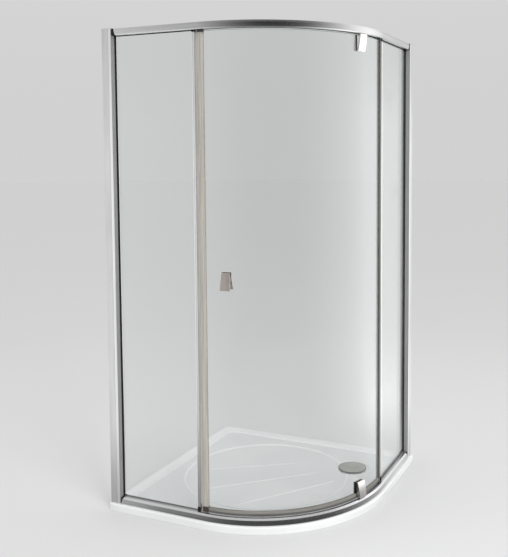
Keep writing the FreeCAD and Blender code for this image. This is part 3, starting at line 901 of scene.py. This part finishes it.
low, high = edgeSeal["low"], line["height"] - edgeSeal["low"]
standPair("postSeal", sealPlan(edgeSeal["postStart"], edgeSeal["postEnd"]), low, high,
          [stripSeal], "post_seal", "soft_seal", sharp=25)
start, end = edgeSeal["magnetStart"], edgeSeal["magnetEnd"]
flipped = [Vector((start + end - p[0], p[1])) for p in sealPlan(start, end)]
piece = stand("magnetStrip", flipped, low, high)
dress(piece, [stripSeal], "door", ["door_magnet"], "soft_seal", sharp=25)

# Dark feet of posts and the closing profile, and dark blocks under the post seals as painted shade
# of the gap there, all a hair proud of what they close.
feet = {
    "proud": 0.25,
    "postHigh": 18.0,
    "profileHigh": 21.0,
    "headHigh": 7.0,
    "bevel": 0.4,
}


def footPlan(start, end, near):
    start, near = start - feet["proud"], near - feet["proud"]
    half = [(start, near, 1.2), (end, near, 1.2)]
    return roundCorners(half + otherSide(half), 3)


def footBlock(name, plan, base, tall, node, finish=blackRubber, onDoor=False):
    # at the foot and at the head; on both walls, or once on the door
    for atHead, end in ((False, "Bottom"), (True, "Top")):
        high = base + (feet["headHigh"] if atHead else tall)
        piece = stand(name + end + "Left", plan, base, high)
        if atHead:
            piece = lifted(piece, name + "HeadLeft")
        if onDoor:
            dress(piece, [finish], "door", [node], "black_rubber", bevel=feet["bevel"])
        else:
            dressPair(piece, name + end, [finish], node, "black_rubber", bevel=feet["bevel"])


footBlock("postFoot", footPlan(post["start"], post["end"], post["near"]), rail["height"],
          feet["postHigh"], "post")
# painted shade: a dark block fills the gap under the post seal
plan = footPlan(edgeSeal["postStart"] + 0.3, edgeSeal["postEnd"] - 0.2, edgeSeal["near"])
footBlock("sealShadeFoot", plan, edgeSeal["low"], edgeSeal["footHigh"], "post_seal")
plan = footPlan(edgeProfile["start"], edgeProfile["end"] + 0.2, edgeProfile["near"])
footBlock("profileFoot", plan, edgeProfile["low"] - 0.2, feet["profileHigh"],
          "door_closing_profile", darkEnd, True)

drip = {
    "legFar": 28.5,
    "web": 28.4,
    "fin": 27.2,
    "finFar": 24.5,
    "paneLow": 29.98,
    "top": 48.0,
    "bead": 37.5,
    "hingeAngle": -18.0,
    "hingeHalf": 23.5,
}


def dripSection():
    d = drip
    far, bead, web, top, face = d["legFar"], d["bead"], d["web"], d["top"], pane["far"] + 0.02
    half = [(d["finFar"], d["fin"]), (d["finFar"] + 0.3, web), (far - 0.5, web),
            (far, web + 0.5), (far, bead - 1.2), (far + 0.35, bead), (far, bead + 1.2),
            (far, top - 1), (far - 0.7, top), (face, top), (face, d["paneLow"])]
    near = otherSide(half, 0)
    return [Vector(p) for p in near[-4:] + half + near[:-4]]  # from the near leg's foot on


hingeAt = straight + math.radians(90 + drip["hingeAngle"]) * line["radius"]
hingeHalf = drip["hingeHalf"] * line["radius"] / (line["radius"] - pane["far"])
for name, start, end, node in (
        ("dripLong", edgeProfile["end"], hingeAt - hingeHalf, "drip_seal_long"),
        ("dripShort", hingeAt + hingeHalf, edgeProfile["tailEnd"] - edgeProfile["tailWide"],
         "drip_seal_short")):
    # the upper legs are clearer than the foot
    kinds = kindsOf(dripSection(), lambda middle: middle.y <= drip["bead"])
    piece = sweep(name, dripSection(), start, end, kinds=kinds)
    dress(piece, [softSeal, softFin], "door", [node], "soft_seal", sharp=30)
print("posts, edge profiles and seals made")


hinge = {
    "angle": -18.0,
    "wide": 45.0,
    "low": 27.3,
    "high": 93.3,
    "seatNear": 19.0,
    "seatFar": 29.0,
    "footDeep": 17.0,
    "topDeep": 6.0,
    "bulge": 2.0,
    "innerLow": 43.3,
    "innerFar": 35.0,
    "round": 1.4,
}
handle = {
    "angle": -79.6,
    "top": 966.0,
    "high": 66.0,
    "topWide": 34.0,
    "lowWide": 41.0,
    "rootHigh": 28.0,
    "rootDeep": 6.0,
    "flare": 12.0,
    "thick": 3.5,
    "seatNear": 19.0,
    "seatFar": 29.0,
    "round": 0.9,
    "swing": 1.15,  # flat at the root, opening out below
}


def onBend(angle, across, inset, height):
    # beside a radius of the bend, at an angle off +X
    reach = line["radius"] - inset
    out = math.sqrt(reach * reach - across * across)
    a = math.radians(angle)
    x = line["bendX"] + out * math.cos(a) - across * math.sin(a)
    y = line["bendY"] + out * math.sin(a) + across * math.cos(a)
    return Vector((x, y, line["base"] + height)) * mm


def plateOn(name, section, angle, wideAt, rings=13):
    # section in (inset, height), carried across the bend to a width that may change with height
    made, lengths = [], []
    for i in range(rings):
        share = 2 * i / (rings - 1) - 1
        made.append([onBend(angle, share * wideAt(p[1]) / 2, p[0], p[1]) for p in section])
        lengths.append(share * wideAt(section[0][1]) / 2)
    return loft(name, made, lengths)


def bowed(first, last, bulge, count):
    # points between two ends of a section, bowed outwards to lower insets
    found = []
    for i in range(1, count):
        share = i / count
        point = Vector(first).lerp(Vector(last), share)
        found.append((point[0] - bulge * 4 * share * (1 - share), point[1]))
    return found


def hingeOuterSection():
    h = hinge
    foot = (h["seatNear"] - h["footDeep"], h["low"])
    head = (h["seatNear"] - h["topDeep"], h["high"])
    return ([(h["seatNear"], h["low"]), foot] + bowed(foot, head, h["bulge"], 8)
            + [head, (h["seatNear"], h["high"])])


def hingeInnerSection():
    h = hinge
    return [(h["seatFar"], h["innerLow"]), (h["innerFar"], h["innerLow"]),
            (h["innerFar"], h["high"]), (h["seatFar"], h["high"])]


for name, section, node in (("hingeOuter", hingeOuterSection(), "hinge_outer_plate"),
                            ("hingeInner", hingeInnerSection(), "hinge_inner_plate")):
    low = plateOn(name + "Bottom", section, hinge["angle"], lambda z: hinge["wide"])
    top = mirrored(low, name + "Top", headOver=True)
    for piece, end in ((low, "_bottom"), (top, "_top")):
        dress(piece, [satinChrome], "door", [node + end], "chrome",
              bevel=hinge["round"], segments=4, sharp=50)


def handleSection(seat, out):
    h = handle
    low = h["top"] - h["high"]
    rootLow = h["top"] - h["rootHigh"]
    face = seat + out * h["rootDeep"]
    tip = face + out * h["flare"]
    back = tip - out * h["thick"]
    front = []
    for i in range(1, 9):
        share = i / 9
        front.append((face + (tip - face) * share ** h["swing"], h["top"] - h["high"] * share))
    return ([(seat, h["top"]), (face, h["top"])] + front
            + [(tip, low), (back, low), (seat + out, rootLow), (seat, rootLow)])


def handleWide(z):
    share = (handle["top"] - z) / handle["high"]
    return handle["topWide"] + (handle["lowWide"] - handle["topWide"]) * share


for name, seat, out, node in (("handleOuter", handle["seatNear"], -1, "handle_outer"),
                              ("handleInner", handle["seatFar"], 1, "handle_inner")):
    piece = plateOn(name, handleSection(seat, out), handle["angle"], handleWide)
    dress(piece, [warmChrome], "door", [node], "chrome",
          bevel=handle["round"], segments=3, sharp=40)
print("hinges and handle made")


def turnedPiece(name, profile, middle, count=96, kinds=None):
    # profile in (radius, height) turned about an upright axis, open where the radius is not 0
    points, faces, uvs, marks = [], [], [], []
    for i in range(count):
        a = 2 * math.pi * i / count
        for radius, height in profile:
            points.append(Vector((middle[0] + radius * math.cos(a),
                                  middle[1] + radius * math.sin(a), height)) * mm)
    size = len(profile)
    for i in range(count):
        for j in range(size):
            k, n = (j + 1) % size, (i + 1) % count
            corners = (i * size + j, i * size + k, n * size + k, n * size + j)
            faces.append(corners)
            uvs.append([(c // size * 0.01, c % size * 0.001) for c in corners])
            marks.append(kinds[j] if kinds else 0)
    return makePiece(name, points, faces, uvs, marks, weld=True)


cover = {
    "radius": 62.5,
    "low": 24.5,
    "thick": 2.5,
    "spigotOut": 44.0,
    "spigotIn": 42.0,
    "spigotLow": 20.0,
    "rimRound": 1.1,
    "rimShadeWide": 2.2,  # painted shade of the gap round the cover's edge
    "stepIn": 3.2,
    "footRing": 52.5,
    "footRadius": 3.0,
    "footLow": 22.5,
}


def coverProfile():
    c = cover
    low, top, radius = c["low"], c["low"] + c["thick"], c["radius"]
    step = radius - c["stepIn"]
    return roundCorners([
        (c["spigotIn"], low), (c["spigotIn"], c["spigotLow"]), (c["spigotOut"], c["spigotLow"]),
        (c["spigotOut"], low), (radius, low, 0.4), (radius, top - 0.1, c["rimRound"]),
        (step, top, 0.5), (step - 0.5, top - 0.35, 0.3), (40, top - 0.3), (20, top - 0.15),
        (0, top - 0.1), (0, low)], 4)


profile = coverProfile()
# the outer rim faces get the painted shade of the gap
rimShadeKinds = [int(radius > cover["radius"] - cover["rimShadeWide"] and height > cover["low"])
            for radius, height in profile]
piece = turnedPiece("wasteCover", profile, (waste["x"], waste["y"]), kinds=rimShadeKinds)
dress(piece, [satinSteel, rimPaintedShade], "cover", ["waste_cover"], "satin_steel", sharp=40)
reach, low, high = cover["footRadius"], cover["footLow"], cover["low"] + 0.2
foot = roundCorners([(0, low), (reach, low, 0.6), (reach, high), (0, high)], 3)
for i in range(4):
    a, ring = math.radians(45 + 90 * i), cover["footRing"]
    spot = (waste["x"] + ring * math.cos(a), waste["y"] + ring * math.sin(a))
    piece = turnedPiece("coverFoot" + str(i + 1), foot, spot, 24)
    dress(piece, [satinSteel], "cover", ["waste_cover"], "satin_steel", sharp=40)
print("waste cover made")


tray = {
    "side": 992.0,
    "corner": 562.0,
    "height": 30.0,
    "edgeRound": 6.0,
    "wallRim": 40.0,
    "frontRim": 54.0,
    "basinCorner": 45.0,
    "basinSlope": 14.0,
    "basinDeep": 5.0,
    "dishX": -45.0,
    "dishY": 33.0,
    "dishRadius": 365.0,
    "dishSlope": 16.0,
    "dishDeep": 4.0,
    "wallCorner": 0.2,
    "footChamfer": 0.6,
    "basinRings": (0.2, 0.45, 0.7, 0.9),  # shares of the way to the dish
    "dishRings": (300, 220, 140, 60, 1.0),
    "spokes": 288,
    "flat": 0.975,  # how level a face of the floors is
    "floors": (20.5, 25.5),  # they lie between these heights
}


def outlineReach(wallInset, frontInset, corner, angle):
    # distance from the dish's middle to a tray outline, along an angle
    t = tray
    half = t["side"] / 2
    left, high = -half + wallInset, half - wallInset
    right, low = half - frontInset, -half + frontInset
    bend = t["corner"] - frontInset
    x, y = math.cos(angle), math.sin(angle)

    def inside(reach):
        px, py = t["dishX"] + reach * x, t["dishY"] + reach * y
        if not (left <= px <= right and low <= py <= high):
            return False
        for cx, cy, r, sx, sy in ((right - bend, low + bend, bend, 1, -1),
                                  (left + corner, low + corner, corner, -1, -1),
                                  (right - corner, high - corner, corner, 1, 1),
                                  (left + corner, high - corner, corner, -1, 1)):
            if (px - cx) * sx > 0 and (py - cy) * sy > 0 and math.hypot(px - cx, py - cy) > r:
                return False
        return True

    near, far = 0.0, 1200.0
    for _ in range(44):
        middle = (near + far) / 2
        near, far = (middle, far) if inside(middle) else (near, middle)
    return near


def ease(share):
    return share * share * (3 - 2 * share)


def trayRings():
    # from the underside's middle out, up the side, over the rim and down to the dish
    t = tray
    angles = [2 * math.pi * (i + 0.5) / t["spokes"] for i in range(t["spokes"])]

    def outline(wallInset, frontInset, corner):
        return [outlineReach(wallInset, frontInset, corner, a) for a in angles]

    def between(first, last, share):
        return [a + (b - a) * share for a, b in zip(first, last)]

    def circle(reach):
        return [reach] * len(angles)

    slope, wallRim, frontRim = t["basinSlope"], t["wallRim"], t["frontRim"]
    out, rimOut = outline(0, 0, t["wallCorner"]), outline(0, t["edgeRound"], t["wallCorner"])
    rim = outline(wallRim, frontRim, t["basinCorner"])
    floor = outline(wallRim + slope, frontRim + slope, t["basinCorner"] - slope)
    top, basin = t["height"], t["height"] - t["basinDeep"]
    chamfer = t["footChamfer"]
    rings = [(circle(1.0), 0.0), ([r * 0.5 for r in out], 0.0), ([r - chamfer for r in out], 0.0),
             (out, chamfer), (out, top - t["edgeRound"])]
    for i in range(1, 8):  # rounded upper edge, only where there is a front
        a = math.radians(90 * i / 8)
        height = top - t["edgeRound"] * (1 - math.sin(a))
        rings.append((between(out, rimOut, 1 - math.cos(a)), height))
    rings += [(rimOut, top), (between(rimOut, rim, 0.9), top)]
    for i in range(11):
        rings.append((between(rim, floor, i / 10), top - t["basinDeep"] * ease(i / 10)))
    for share in t["basinRings"]:
        rings.append((between(floor, circle(t["dishRadius"]), share), basin))
    for i in range(11):
        reach = t["dishRadius"] - t["dishSlope"] * i / 10
        rings.append((circle(reach), basin - t["dishDeep"] * ease(i / 10)))
    for reach in t["dishRings"]:
        rings.append((circle(reach), basin - t["dishDeep"]))
    return angles, rings


def makeTray():
    angles, rings = trayRings()
    t = tray
    half = t["side"] / 2
    made = []
    for reaches, height in rings:
        ring = []
        for a, reach in zip(angles, reaches):
            x = t["dishX"] + reach * math.cos(a)
            y = t["dishY"] + reach * math.sin(a)
            ring.append(Vector((max(-half, min(half, x)), max(-half, min(half, y)), height)) * mm)
        made.append(ring)
    return loft("trayShell", made, [i * 10.0 for i in range(len(made))])


def cutWaste(piece):
    # recess for the waste with a soft lip, and the hole through the tray
    r, low, hole = waste["sumpRadius"], waste["sumpLow"], waste["holeRadius"]
    beyond, start, end = waste["above"]
    profile = [(0, -2), (hole, -2), (hole, low - 1.0), (hole + 0.8, low), (r - 1.5, low),
               (r - 0.4, low + 0.5)]
    profile += [(r + further, height) for further, height in waste["lip"]]
    profile += [(r + beyond, start), (r + beyond, end), (0, end)]
    plug = turnedPiece("wastePlug", profile, (waste["x"], waste["y"]), 72)
    cut = piece.modifiers.new("waste", "BOOLEAN")
    cut.operation = "DIFFERENCE"
    cut.object = plug
    cut.solver = "EXACT"
    bpy.context.view_layer.objects.active = piece
    bpy.context.view_layer.update()
    graph = bpy.context.evaluated_depsgraph_get()
    solid = bpy.data.meshes.new_from_object(piece.evaluated_get(graph))
    piece.modifiers.clear()
    piece.data = solid
    bpy.data.objects.remove(plug)


ridges = {
    # middle, direction in degrees, length: they draw together towards the waste's side
    "bars": ((-144.5, 93.0, 33.0, 400.0), (-26.0, -27.0, 42.9, 515.0),
             (118.0, -102.7, 53.2, 502.0)),
    "wide": 8.0,
    "rise": 2.0,
    "floor": 21.0,
    "sunk": 0.4,
    "steps": 24,
    "bluntness": 14,  # how square the tapered ends are
}


def makeRidge(name, middleX, middleY, direction, length):
    # low rounded bar on the dish's floor, tapered at both ends
    rings, lengths = [], []
    turn = math.radians(direction)
    for i in range(ridges["steps"] + 1):
        share = -1 + 2 * i / ridges["steps"]
        full = max(0.04, 1 - abs(share) ** ridges["bluntness"])
        u = share * length / 2
        ring = []
        for k in range(9):
            a = math.pi * k / 8
            across = ridges["wide"] / 2 * math.cos(a) * (0.3 + 0.7 * full)
            up = ridges["rise"] * math.sin(a) * full
            x = middleX + u * math.cos(turn) - across * math.sin(turn)
            y = middleY + u * math.sin(turn) + across * math.cos(turn)
            ring.append(Vector((x, y, ridges["floor"] - ridges["sunk"] + up)) * mm)
        rings.append(ring)
        lengths.append(u)
    return loft(name, rings, lengths)


shell = makeTray()
cutWaste(shell)
low, high = tray["floors"]
for face in shell.data.polygons:
    # painted shade: the flat floors are a tone duller than slopes, rim and ridges, so the relief
    # shows by colour
    face.material_index = int(face.normal.z > tray["flat"] and low < face.center.z / mm < high)
dress(shell, [trayWhite, trayPaintedShade], "enclosure", ["shower_tray"], "tray_white", sharp=40)
shell.visible_glossy = False  # keeps the rails' faces as dark as their surroundings
for i, place in enumerate(ridges["bars"]):
    bar = makeRidge("trayRidge" + str(i + 1), *place)
    dress(bar, [trayWhite], "enclosure", ["shower_tray"], "tray_white", sharp=60)
print("tray made")


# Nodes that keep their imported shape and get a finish.
keptNodes = (
    (blackRubber, (
        "end_piece_bottom_left", "end_piece_bottom_right", "end_piece_top_left",
        "end_piece_top_right", "waste_gasket", "hinge_pad_outer_bottom", "hinge_pad_outer_top",
        "hinge_pad_inner_bottom", "handle_pad_outer", "handle_pad_inner")),
    (plainSteel, (
        "stile_screws_left", "stile_screws_right", "handle_screws", "hinge_screws_bottom",
        "hinge_screws_top", "hinge_pin_bottom", "hinge_pin_top")),
    (greyPlastic, (
        "upright_cap_left", "upright_cap_right", "pivot_bush_bottom", "pivot_bush_top",
        "hinge_pad_inner_top")),
    (wallAluminium, ("wall_profile_left", "wall_profile_right")),
    (satinAluminiumPart, ("sill_strip",)),
    (satinSteel, ("waste_flange",)),
)
for finish, names in keptNodes:
    for nodeName in names:
        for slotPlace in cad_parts[nodeName].material_slots:
            slotPlace.material = finish
print("kept nodes dressed")


studio = {
    "floorRadius": 40.0,
    "floorHigh": -0.0002,
    "floorColour": (0.715, 0.715, 0.715),
    "horizon": (0.64, 0.64, 0.64),
    "zenith": (0.95, 0.95, 0.95),
    "camera": (1.46445, -3.07273, 1.44216),
    "turn": (85.95635, 0.2814, 23.84872),  # degrees
    "lens": 51.545,
    "shift": (-0.06976, -0.12298),
    "lamps": (
        # name, place, aimed at, width, height, watts, spread
        ("key", (3.0, -2.6, 3.6), (0.1, -0.1, 0.3), 2.0, 2.0, 75, 180),
        ("rake", (2.4, -2.8, 1.25), (0.1, -0.1, 0.05), 0.8, 0.6, 1.8, 50),
    ),
    # what the metal mirrors: compass angle, brightness
    "cards": (
        (-180, 0.75), (-160, 0.90), (-140, 1.00), (-127, 0.85), (-118, 0.55), (-107, 0.42),
        (-95, 0.27), (-81, 0.11), (-66, 0.04), (-52, 0.04), (-40, 0.06), (-28, 0.14),
        (-15, 0.36), (-3, 0.66), (10, 0.95), (23, 1.35), (37, 1.65), (49, 1.35), (62, 0.98),
        (76, 0.58), (110, 0.52), (180, 0.75)),
    "cardPeak": 1.7,
    "cardLeast": 0.17,  # darkest part of the card on the floor
    "cardNear": (0.7, 1.8, 0.62, 1.35),  # on the floor: from reach, to reach, share, share
    "cardRise": (1.6, 2.3, 1.35, 1.0),  # on the wall: the same by height
    "cardFar": (0.95, 1.5),  # on the floor: at least grey between these reaches and beyond
    "cardGrey": 0.22,
    "cardReach": 3.4,
    "cardLow": -0.0006,
    "cardHigh": 4.2,
}


def stageRing(name, rings, finish, count=96):
    # rings of (radius, height) joined up; a first radius of 0 closes the middle
    points, faces = [], []
    for radius, height in rings:
        for i in range(count):
            a = 2 * math.pi * i / count
            points.append((radius * math.cos(a), radius * math.sin(a), height))
    for ring in range(len(rings) - 1):
        for i in range(count):
            k = (i + 1) % count
            a, b = ring * count, (ring + 1) * count
            faces.append((a + i, b + i, b + k, a + k))
    mesh = bpy.data.meshes.new(name)
    mesh.from_pydata(points, [], faces)
    mesh.materials.append(finish)
    ring = newObject(name, mesh)
    return ring


def makeFloor():
    f = Finish("floorPale")
    cloud = f.noise(f.spot(), 0.8)
    pale = studio["floorColour"]
    shader = f.skin({
        "Base Color": f.tint(cloud, tuple(c * 0.985 for c in pale), pale),
        "Roughness": 0.8 + cloud * 0.1,
    })
    reach, high = studio["floorRadius"], studio["floorHigh"]
    rings = [(0.001, high), (reach * 0.2, high), (reach, high)]
    floor = stageRing("studioFloor", rings, f.close(shader))
    floor.visible_glossy = False


def cardFinish(name, flat):
    # brightness by compass angle; the part on the floor turns mid-grey farther out
    f = Finish(name)
    spot = f.spot()
    angle = f.add("TexGradient", {"gradient_type": "RADIAL"}, {"Vector": spot}, out=1)
    least = studio["cardLeast"] if flat else 0.0
    stops = [((a + 180) / 360, (max(v, least) / studio["cardPeak"],) * 3)
             for a, v in studio["cards"]]
    tone = f.add("ValToRGB", {"stops": stops}, {"Fac": angle})
    if flat:
        reach = f.vector("LENGTH", {0: spot}, out=1)
        share = f.ramp(reach, *studio["cardNear"])
    else:
        rise = f.add("SeparateXYZ", {}, {0: spot}, out=2)
        share = f.ramp(rise, *studio["cardRise"])
    tone = f.vector("SCALE", {0: tone, 3: share})
    if flat:
        grey = (studio["cardGrey"] / studio["cardPeak"],) * 3
        tone = f.add("Mix", {"data_type": "RGBA", "blend_type": "LIGHTEN"},
                     {0: f.ramp(reach, *studio["cardFar"]), 6: tone, 7: (*grey, 1)}, out=2)
    return f.close(f.add("Emission", {}, {"Color": tone, "Strength": studio["cardPeak"]}))


def makeCards():
    # seen only in reflections
    reach, low, high = studio["cardReach"], studio["cardLow"], studio["cardHigh"]
    for name, rings in (("cardFloor", [(0.001, low), (1.0, low), (reach, low)]),
                        ("cardWall", [(reach, low), (reach, high)])):
        card = stageRing(name, rings, cardFinish(name, name == "cardFloor"))
        card.visible_camera = False
        card.visible_diffuse = False
        card.visible_transmission = False
        card.visible_volume_scatter = False
        card.visible_shadow = False


def makeSky():
    world = bpy.data.worlds.new("studio")
    bpy.context.scene.world = world
    f = Finish("studio", world)
    spot = f.add("TexCoord", out=0)
    rise = f.vector("DOT_PRODUCT", {0: spot, 1: (0, 0, 1)}, out=1)
    tone = f.tint(f.ramp(rise, 0.05, 0.9), studio["horizon"], studio["zenith"])
    f.close(f.add("Background", {}, {"Color": tone, "Strength": 1.0}), "OutputWorld")


def makeLamps():
    for name, place, aim, wide, high, watts, spread in studio["lamps"]:
        lamp = bpy.data.lights.new(name, "AREA")
        lamp.shape = "RECTANGLE"
        lamp.size, lamp.size_y = wide, high
        lamp.energy = watts
        lamp.spread = math.radians(spread)
        holder = newObject(name, lamp)
        holder.location = place
        holder.rotation_euler = (Vector(aim) - Vector(place)).to_track_quat("-Z", "Y").to_euler()
        holder.visible_camera = False
        holder.visible_glossy = False


def makeCamera():
    eye = bpy.data.cameras.new("photoView")
    eye.lens = studio["lens"]
    eye.sensor_width = 36.0
    eye.sensor_fit = "AUTO"
    eye.shift_x, eye.shift_y = studio["shift"]
    eye.clip_start, eye.clip_end = 0.05, 60.0
    holder = newObject("photoView", eye)
    holder.location = studio["camera"]
    holder.rotation_euler = [math.radians(a) for a in studio["turn"]]
    bpy.context.scene.camera = holder


makeFloor()
makeCards()
makeSky()
makeLamps()
makeCamera()
bpy.context.scene.view_settings.view_transform = "Standard"
print("studio made")
